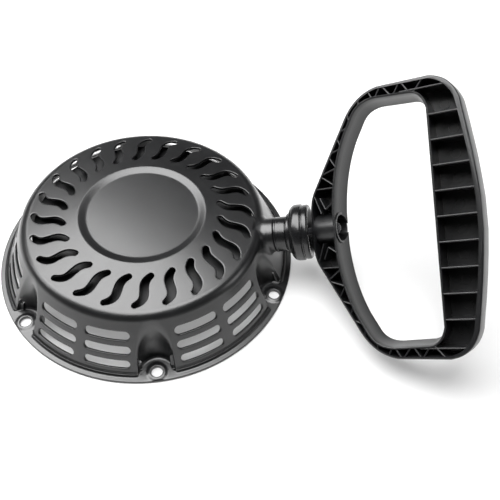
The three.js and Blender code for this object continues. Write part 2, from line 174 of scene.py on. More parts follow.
def tube_data(points, radius, sides):
    """Capped tube along a line of points."""
    pts = np.array(points)
    tang = np.gradient(pts, axis=0)
    tang /= np.linalg.norm(tang, axis=1)[:, None]
    up = np.cross(tang[0], (0.0, 0.0, 1.0))
    up /= np.linalg.norm(up)
    verts, faces = [], []
    for p, t in zip(pts, tang):
        up = up - t * (up @ t)
        up /= np.linalg.norm(up)
        side = np.cross(t, up)
        for k in range(sides):
            a = 2 * math.pi * k / sides
            verts.append(p + radius * (math.cos(a) * up + math.sin(a) * side))
    for i in range(len(pts) - 1):
        for k in range(sides):
            m = (k + 1) % sides
            faces.append((i * sides + k, i * sides + m, (i + 1) * sides + m, (i + 1) * sides + k))
    faces.append(tuple(range(sides))[::-1])
    faces.append(tuple((len(pts) - 1) * sides + k for k in range(sides)))
    return verts, faces


def catmull(points, per=8):
    """Smooth line through the points, with per steps from one to the next."""
    p = np.array(points, float)
    p = np.vstack([2 * p[0] - p[1], p, 2 * p[-1] - p[-2]])
    out = []
    for i in range(1, len(p) - 2):
        for k in range(per):
            t = k / per
            a, b, c, d = p[i - 1], p[i], p[i + 1], p[i + 2]
            out.append(0.5 * (2 * b + (c - a) * t + (2 * a - 5 * b + 4 * c - d) * t * t
                              + (3 * b - a - 3 * c + d) * t ** 3))
    out.append(p[-2])
    return np.array(out)


# ---- housing: one skin evaluated on an (azimuth, profile) grid ----------------------------------
DISC_CROWN = 0.4
CONE_END_R, WALL_TOP_Z = 69.6, 34.0


def shell_profile():
    """[radius, height] of the outer skin from the middle of the disc to the foot of the wall."""
    pts = [(0.0, DISC_Z + DISC_CROWN)]
    for r in np.linspace(4, DISC_R - 0.6, 12):
        pts.append((r, DISC_Z + DISC_CROWN * (1 - (r / DISC_R) ** 2)))
    crest_z = TOP_Z40 - TOP_TILT * (CREST_R - 40)
    for t in np.linspace(0, 1, 14):
        s = 0.35 * t * t * (3 - 2 * t) + 0.65 * t
        pts.append((DISC_R - 0.4 + (CREST_R - DISC_R + 0.4) * t, DISC_Z + (crest_z - DISC_Z) * s))
    top = math.pi / 2 - math.atan(TOP_TILT)
    wall = math.atan(WALL_SLOPE)
    for r in np.linspace(CREST_R + 0.8, CONE_END_R, 14):
        pts.append((r, TOP_Z40 - TOP_TILT * (r - 40)))
    for a in np.linspace(top, wall, 16):
        pts.append((SHOULDER_R + SHOULDER_RAD * math.cos(a), SHOULDER_Z + SHOULDER_RAD * math.sin(a)))
    for z in np.linspace(WALL_TOP_Z, SHEET, 20):
        pts.append((WALL_BASE_R - WALL_SLOPE * (z - SHEET), z))
    return np.array(pts)


PROFILE = shell_profile()
ARC = np.concatenate([[0], np.cumsum(np.linalg.norm(np.diff(PROFILE, axis=0), axis=1))])
V_WALL = ARC[-1]
FLANGE_SPAN = 15.0
EDGE_SPAN = 2.0
FLANGE_ROUND = 0.5
FOOT_FILLET, FOOT_SPAN = 1.1, 1.6
NOTCH_TOP_Z, NOTCH_BLEND, NOTCH_EDGE_SLOPE = 38.5, 1.9, 3.5
PAD_R, PAD_SHARE, PAD_HEIGHT = 6.1, 0.7, 0.9


def smooth_min(a, b, k):
    """Smaller of two values, rounded over where they are within k of each other."""
    h = np.clip(0.5 + 0.5 * (b - a) / k, 0, 1)
    return b * (1 - h) + a * h - k * h * (1 - h)


def from_hole(az):
    """Angle in radians from the nearest bolt hole."""
    return np.radians((az - HOLE_AZ + SECTOR / 2) % SECTOR - SECTOR / 2)


def notch_radius(az, z):
    """Radius at which a ray from the axis meets the nearest bolt notch."""
    d = from_hole(az)
    reach = NOTCH_R + NOTCH_FLARE * (z - SHEET)
    side = HOLE_PCR * np.sin(d)
    inside = np.clip(reach ** 2 - side ** 2, 0, None)
    r = HOLE_PCR * np.cos(d) - np.sqrt(inside)
    over = np.clip(np.abs(side) - reach, 0, None)
    return r + over * NOTCH_EDGE_SLOPE


def skin(az, v):
    """Outer surface point for azimuth in degrees and profile distance in mm."""
    az, v = np.broadcast_arrays(np.asarray(az, float), np.asarray(v, float))
    vp = np.clip(v, 0, V_WALL)
    r = np.interp(vp, ARC, PROFILE[:, 0])
    z = np.interp(vp, ARC, PROFILE[:, 1])
    low = z < NOTCH_TOP_Z
    r = np.where(low, smooth_min(r, notch_radius(az, z), NOTCH_BLEND), r)
    t = np.clip((v - V_WALL) / FLANGE_SPAN, 0, 1)
    edge = np.clip((v - V_WALL - FLANGE_SPAN) / EDGE_SPAN, 0, 1) * math.pi / 2
    on_flange = v > V_WALL
    flange_r = r + (FLANGE_R - FLANGE_ROUND - r) * t + FLANGE_ROUND * np.sin(edge)
    fillet = FOOT_FILLET * np.clip(1 - (flange_r - r) / FOOT_SPAN, 0, 1) ** 2
    d = from_hole(az)
    hole = np.sqrt((flange_r * np.cos(d) - HOLE_PCR) ** 2 + (flange_r * np.sin(d)) ** 2)
    pad = PAD_SHARE * np.clip(PAD_R - hole, 0, 1)
    pad = pad * pad * (3 - 2 * pad) * PAD_HEIGHT
    flange_z = SHEET + fillet + pad - FLANGE_ROUND * (1 - np.cos(edge))
    z = z + FOOT_FILLET * np.clip(1 - (V_WALL - vp) / FOOT_SPAN, 0, 1) ** 2 * (~on_flange)
    r_out = np.where(on_flange, flange_r, r)
    z_out = np.where(on_flange, flange_z, z)
    a = np.radians(az)
    return np.stack([r_out * np.cos(a), r_out * np.sin(a), z_out], -1)


def vane_chain():
    """Middle line of one S-shaped slot, hooked at both ends, and its half width along it."""
    us = np.linspace(-1, 1, 17)
    pts = []
    for u in us:
        r = VANE_MID_R + VANE_REACH * u
        az = -VANE_HOOK_AZ * np.sign(u) * abs(u) ** 3.4 - 0.2 * u
        pts.append((r * math.cos(math.radians(az)), r * math.sin(math.radians(az))))
    half = 2.45 - 0.75 * np.abs(us) ** 4 + 0.1 * (us < 0) * np.abs(us) ** 4
    return np.array(pts), half


VANE_PTS, VANE_HALF = vane_chain()


def chain_distance(px, py):
    """Distance to the edge of the S-shaped slot that lies on azimuth 0, negative inside it."""
    best = np.full(px.shape, 1e9)
    for k in range(len(VANE_PTS) - 1):
        a, b = VANE_PTS[k], VANE_PTS[k + 1]
        ab = b - a
        t = np.clip(((px - a[0]) * ab[0] + (py - a[1]) * ab[1]) / (ab @ ab), 0, 1)
        w = VANE_HALF[k] * (1 - t) + VANE_HALF[k + 1] * t
        best = np.minimum(best, np.hypot(px - a[0] - ab[0] * t, py - a[1] - ab[1] * t) - w)
    return best


# Where each kind of cut-out can lie, in mm of height or radius, and the distance reported elsewhere.
VANE_LOW_Z, VANE_IN_R, VANE_OUT_R = 37.5, 42, 73
SLOT_LOW_Z, SLOT_HIGH_Z = 3, 34
HOLE_HIGH_Z = 3.2
GUIDE_NEAR = 12
FAR = 50.0


def openings(az, v):
    """Signed distance in mm to the nearest cut-out, negative inside it."""
    p = skin(az, v)
    r = np.hypot(p[..., 0], p[..., 1])
    z = p[..., 2]
    az = np.degrees(np.arctan2(p[..., 1], p[..., 0]))
    f = np.full(r.shape, FAR)
    top = (z > VANE_LOW_Z) & (r > VANE_IN_R) & (r < VANE_OUT_R)
    local = np.radians((az - VANE_AZ + VANE_PITCH / 2) % VANE_PITCH - VANE_PITCH / 2)
    f = np.where(top, np.minimum(f, chain_distance(r * np.cos(local), r * np.sin(local))), f)
    sector = (az - HOLE_AZ) % SECTOR - SECTOR / 2
    plain = np.floor(((az - HOLE_AZ) % 360) / SECTOR) == GUIDE_SECTOR
    wall_z = (z > SLOT_LOW_Z) & (z < SLOT_HIGH_Z)
    for side in (-COLUMN_AZ, COLUMN_AZ):
        for z0, z1, span in SIDE_ROWS:
            zm = (z0 + z1) / 2
            rm = WALL_BASE_R - WALL_SLOPE * zm
            half_w = (z1 - z0) / 2
            half_l = rm * math.radians(span / 2) - half_w
            qx = np.clip(np.abs(rm * np.radians(sector - side)) - half_l, 0, None)
            d = np.hypot(qx, (z - zm)) - half_w
            f = np.where(wall_z & ~plain, np.minimum(f, d), f)
    low = z < HOLE_HIGH_Z
    d = from_hole(az)
    hole = np.hypot(r * np.cos(d) - HOLE_PCR, r * np.sin(d)) - HOLE_R
    f = np.where(low, np.minimum(f, hole), f)
    rel = p - GUIDE_ROOT
    along = rel @ GUIDE_E
    off = np.linalg.norm(rel - along[..., None] * GUIDE_E, axis=-1) - TAIL_R - TAIL_GAP
    return np.where(np.abs(along) < GUIDE_NEAR, np.minimum(f, off), f)


EDGE_ROUND = 0.42
SNAP_REACH = 0.52
SNAP_STEP_U, SNAP_STEP_V = 0.62, 0.6


def metric(u, v):
    """Change of the skin point for one degree of u and for one mm of v."""
    du, dv = 0.02, 0.02
    pu = (skin(u + du, v) - skin(u - du, v)) / (2 * du)
    pv = (skin(u, v + dv) - skin(u, v - dv)) / (2 * dv)
    return pu, pv


def gradient(u, v):
    """Gradient of the distance to the openings in (u, v), its square, and the skin's metric."""
    du, dv = 0.03, 0.03
    fu = (openings(u + du, v) - openings(u - du, v)) / (2 * du)
    fv = (openings(u, v + dv) - openings(u, v - dv)) / (2 * dv)
    pu, pv = metric(u, v)
    gu = fu / np.maximum((pu ** 2).sum(-1), 1e-9)
    gv = fv / np.maximum((pv ** 2).sum(-1), 1e-9)
    g2 = np.maximum(fu * gu + fv * gv, 1e-9)
    return gu, gv, g2, pu, pv


def grid_rows():
    """Profile distances of the grid's rows, closer together at the ring, slots, bends and foot."""
    rows = np.concatenate([
        np.linspace(0, 31, 8)[1:],
        np.arange(32.5, 44.5, 0.5),
        np.arange(44.5, 71.0, 0.62),
        np.arange(71.0, 80.5, 0.6),
        np.arange(80.8, V_WALL, 0.62),
        V_WALL + np.linspace(0, FLANGE_SPAN, 17),
        V_WALL + FLANGE_SPAN + np.array((0.5, 1.0, 1.5, 2.0)),
    ])
    return np.unique(np.round(rows, 4))


def housing_mesh(columns=720):
    """Skin and its inner copy, cut open where openings() is negative, with rounded lips between."""
    us = np.arange(columns) * 360.0 / columns
    rows = grid_rows()
    nr, nc = len(rows), columns
    V, U = np.meshgrid(rows, us, indexing="ij")
    U, V = U.copy(), V.copy()

    # points near an edge are moved onto it
    f0 = openings(U, V) - EDGE_ROUND
    pu, pv = metric(U, V)
    step_u = np.linalg.norm(pu, axis=-1) * 360.0 / columns
    gap = np.gradient(rows)[:, None] * np.linalg.norm(pv, axis=-1)
    reach = SNAP_REACH * np.maximum(step_u, gap)
    near = np.abs(f0) < reach
    last_fixed = rows > V_WALL + FLANGE_SPAN - 0.2
    near[last_fixed] = False
    near[:3] = False
    snapped = near.copy()
    for _ in range(3):
        u, v = U[near], V[near]
        gu, gv, g2, _, _ = gradient(u, v)
        f = openings(u, v) - EDGE_ROUND
        lim_u = SNAP_STEP_U * 360.0 / columns
        du = np.clip(-f * gu / g2, -lim_u, lim_u)
        dv = np.clip(-f * gv / g2, -SNAP_STEP_V, SNAP_STEP_V)
        U[near], V[near] = u + du, v + dv
    f1 = openings(U, V) - EDGE_ROUND
    state = np.where(snapped, 0, np.where(f1 < 0, -1, 1))

    # normals point up or outward; the inner side lies one sheet behind the skin, flat at the flange
    P = skin(U, V)
    pu, pv = metric(U, V)
    N = np.cross(pu, pv)
    N /= np.maximum(np.linalg.norm(N, axis=-1), 1e-12)[..., None]
    N = np.where((N @ np.array((0, 0, 1.0)) < -0.3)[..., None], -N, N)
    out = P[..., :2] / np.maximum(np.linalg.norm(P[..., :2], axis=-1), 1e-9)[..., None]
    facing = N[..., 0] * out[..., 0] + N[..., 1] * out[..., 1]
    N = np.where((facing < -0.35)[..., None], -N, N)
    inner = P - SHEET * N
    flat = V > V_WALL
    inner[flat] = np.stack([P[flat][:, 0], P[flat][:, 1], np.zeros(flat.sum())], -1)
    inner[..., 2] = np.where(V > V_WALL - 3.0, np.maximum(inner[..., 2], 0.0), inner[..., 2])

    # faces of both sides, and the open edges that they leave
    verts = [*P.reshape(-1, 3), *inner.reshape(-1, 3)]
    off = nr * nc
    verts.append(skin(0.0, 0.0))
    verts.append(skin(0.0, 0.0) - np.array((0, 0, SHEET)))
    idx = np.arange(off).reshape(nr, nc)
    faces = []
    edges = {}

    def put(loop):
        faces.append(loop)
        faces.append(tuple(off + k for k in reversed(loop)))
        for a, b in zip(loop, loop[1:] + loop[:1]):
            if (b, a) in edges:
                del edges[(b, a)]
            else:
                edges[(a, b)] = True

    for i in range(nr - 1):
        for j in range(nc):
            k = (j + 1) % nc
            quad = (idx[i, j], idx[i + 1, j], idx[i + 1, k], idx[i, k])
            st = (state[i, j], state[i + 1, j], state[i + 1, k], state[i, k])
            if min(st) == 1 or (min(st) == 0 and max(st) == 1):
                put(quad)
            elif min(st) == 0:
                uj = U[i, j]
                uk = U[i, k] + (360.0 if k == 0 else 0.0)
                mid = openings((uj + uk) / 2, (V[i, j] + V[i + 1, j]) / 2) - EDGE_ROUND
                if mid > 0:
                    put(quad)
            elif max(st) == 1:
                keep = tuple(q for q, s in zip(quad, st) if s >= 0)
                if len(keep) == 3:
                    put(keep)
    centre_out, centre_in = 2 * off, 2 * off + 1
    for j in range(nc):
        k = (j + 1) % nc
        faces.append((centre_out, idx[0, j], idx[0, k]))
        faces.append((centre_in, off + idx[0, k], off + idx[0, j]))
        edges.pop((idx[0, k], idx[0, j]), None)

    # rounded lips down every opening, and the flange rim
    gu, gv, _, pu, pv = gradient(U[snapped], V[snapped])
    g = gu[:, None] * pu + gv[:, None] * pv
    g /= np.maximum(np.linalg.norm(g, axis=1), 1e-9)[:, None]
    toward = np.zeros((nr, nc, 3))
    toward[snapped] = g
    toward = toward.reshape(-1, 3)
    flat_out = P.reshape(-1, 3)
    flat_in = inner.reshape(-1, 3)
    is_snap = snapped.reshape(-1)
    lips = {}

    def lip(i):
        if i not in lips:
            ids = [i]
            if is_snap[i]:
                depth_dir = flat_in[i] - flat_out[i]
                thick = np.linalg.norm(depth_dir)
                depth_dir = depth_dir / thick
                for a in (30, 60, 90):
                    s, c = math.sin(math.radians(a)), math.cos(math.radians(a))
                    verts.append(flat_out[i] - toward[i] * EDGE_ROUND * s
                                 + depth_dir * EDGE_ROUND * (1 - c))
                    ids.append(len(verts) - 1)
                verts.append(flat_out[i] - toward[i] * EDGE_ROUND + depth_dir * (thick - 0.2))
                ids.append(len(verts) - 1)
                verts.append(flat_out[i] - toward[i] * (EDGE_ROUND - 0.15) + depth_dir * thick)
                ids.append(len(verts) - 1)
            ids.append(i + off)
            lips[i] = ids
        return lips[i]

    for a, b in edges:
        la, lb = lip(a), lip(b)
        if len(la) != len(lb):
            la, lb = [la[0], la[-1]], [lb[0], lb[-1]]
        for m in range(len(la) - 1):
            faces.append((lb[m], la[m], la[m + 1], lb[m + 1]))
    return np.array(verts), faces


BOSS_FILLET = 2.6


def wall_crossing(side, radius):
    """Where a line along the guide, radius away from its axis, comes out of the housing wall."""
    lo, hi = -14.0, 12.0
    for _ in range(30):
        mid = (lo + hi) / 2
        p = GUIDE_ROOT + side * radius + GUIDE_E * mid
        r = math.hypot(p[0], p[1])
        outside = r > WALL_BASE_R - WALL_SLOPE * (p[2] - SHEET)
        if r > SHOULDER_R and p[2] > SHOULDER_Z + 2.9:
            outside = math.hypot(r - SHOULDER_R, p[2] - SHOULDER_Z) > SHOULDER_RAD
        lo, hi = (lo, mid) if outside else (mid, hi)
    return (lo + hi) / 2


def boss_profile(side):
    """Closed [radius, distance] section of the boss on one side of the guide's axis."""
    bore_r = TAIL_R + TAIL_GAP
    profile = [(bore_r, wall_crossing(side, bore_r) - 0.8)]
    for t in np.linspace(0, 1, 7):
        radius = BOSS_R + BOSS_FILLET * (1 - math.sin(t * math.pi / 2))
        rise = BOSS_FILLET * (1 - math.cos(t * math.pi / 2))
        profile.append((radius, wall_crossing(side, radius) - 0.1 + rise))
    profile[1] = (profile[1][0] + 0.2, profile[1][1] - 0.5)
    profile += [
        (BOSS_R, max(profile[-1][1] + 0.3, BOSS_END - 0.5)), (BOSS_R - 0.1, BOSS_END - 0.2),
        (BOSS_R - 0.4, BOSS_END), (TAIL_R + 0.5, BOSS_END), (bore_r, BOSS_END - 0.2),
    ]
    return profile


def boss_mesh(segments=72):
    """Short round boss that flows out of the wall and carries the rope guide."""
    verts = []
    for i in range(segments):
        a = 2 * math.pi * i / segments
        side = math.cos(a) * GUIDE_SIDE + math.sin(a) * GUIDE_UP
        profile = boss_profile(side)
        for r, s in profile:
            verts.append(GUIDE_ROOT + side * r + GUIDE_E * s)
    return np.array(verts), ring_faces(segments, len(profile))


def joined(*parts):
    """One (points, faces) pair out of several."""
    verts, faces = [], []
    for v, f in parts:
        base = len(verts)
        verts.extend(list(v))
        faces.extend(tuple(int(i) + base for i in face) for face in f)
    return verts, faces


# ---- rope guide ---------------------------------------------------------------------------------
MOUTH_R, MOUTH_S, MOUTH_ROUND = 7.7, -2.4, 4


def guide_profile():
    """[radius, distance] from the inner mouth over the barrel and both lips and back down the bore."""
    lip = []
    for i in range(7):
        a = math.pi / 2 * i / 6
        lip.append((MOUTH_R - MOUTH_ROUND * math.cos(a), MOUTH_S - MOUTH_ROUND * math.sin(a)))
    flare = []
    for i in range(9):
        a = math.pi / 2 * i / 8
        flare.append((12.4 + 5.1 * math.sin(a), 19.3 - 4.1 * math.cos(a)))
    return [
        *lip, (TAIL_R, -6.2), (TAIL_R, 5.3), (11, 5.3), (11, 6.4), (10.8, 6.6), (10.8, 12.4),
        (10.1, 12.6), (10.1, 13.2), (12.4, 13.5), *flare, (17.5, 22.8), (16.5, 23.1), (16.5, 23.8),
        (16.9, 24.1), (16.9, 26.5), (16.1, 27.4), (14.4, 27.4), (13.2, 25.5), (6.2, 16), (4.2, 9),
    ]


# ---- handle -------------------------------------------------------------------------------------
def bend(a, control, b, segments):
    """Points of a quadratic curve, ends included."""
    a, control, b = map(np.array, (a, control, b))
    return [tuple((1 - t) ** 2 * a + 2 * t * (1 - t) * control + t * t * b)
            for t in np.linspace(0, 1, segments + 1)]


# Half outlines and ribs of one arm as (s, t): s along the rope's line, t across the handle.
OUTER_HALF = [
    *bend((25.9, 11.5), (26.4, 18.4), (29.2, 23.3), 6),
    *bend((50.4, 60.8), (58.3, 76), (72.8, 78.4), 14),
    *bend((102.2, 78.6), (115, 76.8), (118.8, 63), 14),
    *bend((120.2, 53.5), (123.7, 33.6), (125.4, 9), 8),
]
INNER_HALF = [
    *bend((41, 9.6), (42.5, 35), (51.4, 53.4), 10),
    *bend((57.4, 64.3), (62, 71.6), (71.8, 71.6), 8),
    *bend((91.4, 70.6), (98.2, 69.8), (100.1, 60.6), 8),
]
ARM_RIBS = [
    ((28.6, 20.4), (32.6, 9)), ((32.4, 18.4), (35.4, 11.4)), ((35.4, 11.4), (41, 15.4)),
    ((27.8, 23.8), (42.5, 23.8)), ((41.5, 25.5), (33.4, 31.6)), ((33.4, 31.6), (44.2, 35.2)),
    ((44.2, 35.2), (39.4, 43.4)), ((39.4, 43.4), (48.5, 46.4)), ((48.5, 46.4), (45.4, 54.6)),
    ((45.4, 54.6), (55, 58.6)), ((55, 58.6), (53.4, 68.9)), ((61.2, 67.4), (61.2, 77.6)),
    ((70.4, 70.4), (66.4, 78.6)), ((70.4, 70.4), (75.4, 78.6)), ((81.6, 70.4), (75.4, 78.6)),
    ((81.6, 70.4), (86.6, 78.6)), ((92.6, 69.4), (86.6, 78.6)), ((92.6, 69.4), (100.4, 78.6)),
    ((86, 72.4), (118, 72.4)),
]


GRIP_START, GRIP_RUN = 98, 16
EJECTOR_RING, EJECTOR_S, EJECTOR_END_S = (2.6, 2.9), 111, 107.5


def inside_outline(outline, s, t):
    """Whether the point (s, t) lies inside a closed outline."""
    hit = False
    n = len(outline)
    for i in range(n):
        (s0, t0), (s1, t1) = outline[i], outline[(i + 1) % n]
        if (t0 > t) != (t1 > t) and s < s0 + (t - t0) * (s1 - s0) / (t1 - t0):
            hit = not hit
    return hit


def clip_rib(a, b, wall_out, wall_in, steps=160):
    """Keeps the stretch of a rib that runs inside the channel between the two walls."""
    a, b = np.array(a, float), np.array(b, float)
    kept = []
    for i in range(steps + 1):
        p = a + (b - a) * i / steps
        if inside_outline(wall_out, *p) and not inside_outline(wall_in, *p):
            kept.append(p)
    return kept[0], kept[-1]


def mirrored(half):
    """Closed outline from its upper half."""
    return [tuple(p) for p in half] + [(s, -t) for s, t in reversed(half)]


def offset_outline(points, by):
    """Moves a clockwise outline inward by a distance, or by a distance worked out per corner."""
    out = []
    n = len(points)
    pts = [np.array(p, float) for p in points]
    for i, p in enumerate(pts):
        before = p - pts[i - 1]
        after = pts[(i + 1) % n] - p
        before = before / np.linalg.norm(before)
        after = after / np.linalg.norm(after)
        normal = np.array((before[1] + after[1], -before[0] - after[0]))
        normal = normal / np.linalg.norm(normal)
        stretch = max(0.6, normal[0] * after[1] - normal[1] * after[0])
        distance = by(p) if callable(by) else by
        out.append(tuple(p + normal * distance / stretch))
    return out


def loft(outlines):
    """Closed solid from (outline, h) layers of equal length, in the handle frame."""
    n = len(outlines[0][0])
    verts, faces = [], []
    for outline, h in outlines:
        for s, t in outline:
            verts.append((s, t, h))
    for k in range(len(outlines) - 1):
        for i in range(n):
            j = (i + 1) % n
            faces.append((k * n + i, k * n + j, (k + 1) * n + j, (k + 1) * n + i))
    faces.append(tuple(range(n))[::-1])
    faces.append(tuple((len(outlines) - 1) * n + i for i in range(n)))
    return verts, faces


def strut(a, b, width, h0, h1):
    """Rib between two points of the handle plane with a half-round top."""
    a, b = np.array(a, float), np.array(b, float)
    along = (b - a) / np.linalg.norm(b - a)
    side = np.array((-along[1], along[0]))

    def corners(w):
        return [tuple(a + side * w / 2), tuple(b + side * w / 2), tuple(b - side * w / 2),
                tuple(a - side * w / 2)]

    layers = [(corners(width), h0)]
    for degrees in (0, 28, 56, 80):
        lean = math.radians(degrees)
        layers.append((corners(width * math.cos(lean)), h1 - width / 2 * (1 - math.sin(lean))))
    return loft(layers)


def local_object(name, data):
    """Object from millimetre points with its faces turned outward, for the boolean cuts."""
    mesh = bpy.data.meshes.new(name)
    mesh.from_pydata([tuple(c * MM for c in v) for v in data[0]], [], data[1])
    bm = bmesh.new()
    bm.from_mesh(mesh)
    bmesh.ops.recalc_face_normals(bm, faces=bm.faces)
    bm.to_mesh(mesh)
    bm.free()
    return add_object(name, mesh)


def cut(obj, cutter):
    """Cuts one object out of another and removes the cutter."""
    mod = obj.modifiers.new("cut", "BOOLEAN")
    mod.operation = "DIFFERENCE"
    mod.solver = "EXACT"
    mod.object = cutter
    apply_modifiers(obj)
    bpy.data.objects.remove(cutter)


def apply_modifiers(obj):
    """Replaces the mesh by what its modifiers make of it."""
    bpy.context.view_layer.update()
    graph = bpy.context.evaluated_depsgraph_get()
    mesh = bpy.data.meshes.new_from_object(obj.evaluated_get(graph))
    obj.modifiers.clear()
    obj.data = mesh


def ring_local(profile, segments=64):
    """Body of revolution about the handle's long axis, in the handle frame."""
    x, y, z = np.array((0, 1.0, 0)), np.array((0, 0, 1.0)), np.array((1.0, 0, 0))
    return lathe_data(profile, segments, np.zeros(3), x, y, z)


def outer_wall(p):
    """Thickness of the outer wall at a point, which grows from the arms to the grip."""
    return ARM_WALL + (GRIP_WALL - ARM_WALL) * min(1, max(0, (p[0] - GRIP_START) / GRIP_RUN))


def handle_shell(outer, inner, front, back):
    """Loop with rounded rims, an open-fronted channel all round, and the rope tube's two bores."""
    body = local_object("handle_visual", loft([
        (offset_outline(outer, 2.6), back), (offset_outline(outer, 1.2), back + 0.4),
        (offset_outline(outer, 0.4), back + 1.3), (outer, back + 2.8), (outer, front - 1.0),
        (offset_outline(outer, 0.13), front - 0.5), (offset_outline(outer, 0.5), front - 0.13),
        (offset_outline(outer, 1.0), front)]))
    cut(body, local_object("opening", loft([
        (offset_outline(inner, 2.2), back - 2), (offset_outline(inner, 1.9), back - 0.02),
        (offset_outline(inner, 1.5), back + 1.2), (inner, front - 6), (inner, front - 0.5),
        (offset_outline(inner, -0.15), front - 0.18), (offset_outline(inner, -0.5), front + 0.01),
        (offset_outline(inner, -0.6), front + 1)])))
    top_out, top_in = offset_outline(outer, outer_wall), offset_outline(inner, -INNER_WALL)
    floor_out, floor_in = offset_outline(top_out, 0.4), offset_outline(top_in, -0.4)
    pocket = local_object("pocket", loft([(floor_out, back + 2), (top_out, front + 3)]))
    cut(pocket, local_object("core", loft([(floor_in, back - 8), (floor_in, back + 2),
                                           (top_in, front + 8)])))
    cut(body, pocket)
    cut(body, local_object("bore", ring_solid(TUBE_BORE_R, KNOT_SEAT, 60)))
    cut(body, local_object("cord_hole", ring_solid(ROPE_HOLE_R, 20, 40)))
    return body


def handle_fittings(outer, inner, front, back):
    """Arm ribs, grip ribs, rope tube and the ejector rings in the grip cells."""
    wall_out, wall_in = offset_outline(outer, 0.7), offset_outline(inner, -0.6)
    parts = []
    for side in (1, -1):
        for a, b in ARM_RIBS:
            ends = clip_rib((a[0], side * a[1]), (b[0], side * b[1]), wall_out, wall_in)
            parts.append(strut(*ends, ARM_RIB_WIDTH, back + 1.5, front - 0.3))
    for i in range(-4, 5):
        t = GRIP_RIB_PITCH * i
        ends = clip_rib((97, t), (128, t), wall_out, wall_in)
        parts.append(strut(*ends, GRIP_RIB_WIDTH, back + 1.5, front - 0.2))
    parts.append(ring_local(round_corners([
        (TUBE_BORE_R, TUBE_END), (TUBE_BORE_R, KNOT_SEAT), (ROPE_HOLE_R, KNOT_SEAT),
        (ROPE_HOLE_R, TUBE_START), (TUBE_R, TUBE_START), (TUBE_R, TUBE_END - 0.9),
        (TUBE_R + 0.4, TUBE_END)], 0.35)))
    for side in (1, -1):
        for i in range(5):
            t = side * GRIP_RIB_PITCH * (i + 0.5)
            s = EJECTOR_S if i < 4 else EJECTOR_END_S
            parts.append(shift(ring_z(*EJECTOR_RING, back + 1.9, back + 2.35), s, t))
    return joined(*parts)


def handle_object():
    """Whole handle in one mesh, moved from its own frame to its place on the rope."""
    sides = (mirrored(OUTER_HALF), mirrored(INNER_HALF), HANDLE_FRONT, -HANDLE_BACK)
    body = handle_shell(*sides)
    extra = local_object("ribs", handle_fittings(*sides))
    bm = bmesh.new()
    bm.from_mesh(body.data)
    bmesh.ops.remove_doubles(bm, verts=bm.verts, dist=2e-5)
    bmesh.ops.dissolve_limit(bm, angle_limit=math.radians(1.0), verts=bm.verts, edges=bm.edges)
    bm.from_mesh(extra.data)
    bm.to_mesh(body.data)
    bm.free()
    bpy.data.objects.remove(extra)
    place = Matrix((
        (HANDLE_D[0], HANDLE_W[0], HANDLE_N[0], HANDLE_AT[0] * MM),
        (HANDLE_D[1], HANDLE_W[1], HANDLE_N[1], HANDLE_AT[1] * MM),
        (HANDLE_D[2], HANDLE_W[2], HANDLE_N[2], HANDLE_AT[2] * MM),
        (0, 0, 0, 1)))
    body.data.transform(place)
    smooth(body.data, 32)
    return body


def ring_solid(radius, s0, s1, segments=64):
    """Solid cylinder about the handle's long axis, in the handle frame."""
    verts = []
    for s in (s0, s1):
        for i in range(segments):
            a = 2 * math.pi * i / segments
            verts.append((s, radius * math.cos(a), radius * math.sin(a)))
    faces = [(i, (i + 1) % segments, segments + (i + 1) % segments, segments + i)
             for i in range(segments)]
    faces.append(tuple(range(segments))[::-1])
    faces.append(tuple(range(segments, 2 * segments)))
    return verts, faces


def ring_z(r0, r1, h0, h1, segments=24):
    """Flat ring around the handle frame's third axis."""
    x, y, z = np.array((1.0, 0, 0)), np.array((0, 1.0, 0)), np.array((0, 0, 1.0))
    return lathe_data([(r0, h0), (r1, h0), (r1, h1), (r0, h1)], segments, np.zeros(3), x, y, z)


def shift(data, s, t):
    """Moves (points, faces) in the handle's plane."""
    return [np.array(v) + (s, t, 0) for v in data[0]], data[1]


# ---- rope ---------------------------------------------------------------------------------------
def guide_point(side, s):
    """Point at a sideways offset and a distance along the guide's axis."""
    return GUIDE_ROOT + GUIDE_SIDE * side + GUIDE_E * s


def handle_point(s):
    """Point on the handle's long axis."""
    return HANDLE_AT + HANDLE_D * s


WIND_END_AZ = GUIDE_AZ + 45.0
WRAP_R = 6.35


def lead_points():
    """Rope from the winding's outer end, round the guide's inner mouth and into the handle."""
    start = polar(WIND_OUT_R, WIND_END_AZ, ROPE_Z)
    wrap = []
    for i in range(4):
        a = math.radians(45) * (1 - i / 3)
        wrap.append(guide_point(MOUTH_R - WRAP_R * math.cos(a), MOUTH_S - WRAP_R * math.sin(a)))
    return [start, (start + wrap[0]) / 2, *wrap, guide_point(0.6, 8), guide_point(0.1, 24),
            handle_point(29), handle_point(KNOT_SEAT + 2.2)]


def winding_points():
    """Flat spiral of the rope on the reel, from its outer end inward."""
    out = []
    for t in np.linspace(0, 1, 240):
        az = WIND_END_AZ + 1 + (360 * WIND_TURNS - 1) * t
        out.append(polar(WIND_OUT_R - WIND_PITCH * WIND_TURNS * t, az, ROPE_Z))
    return out


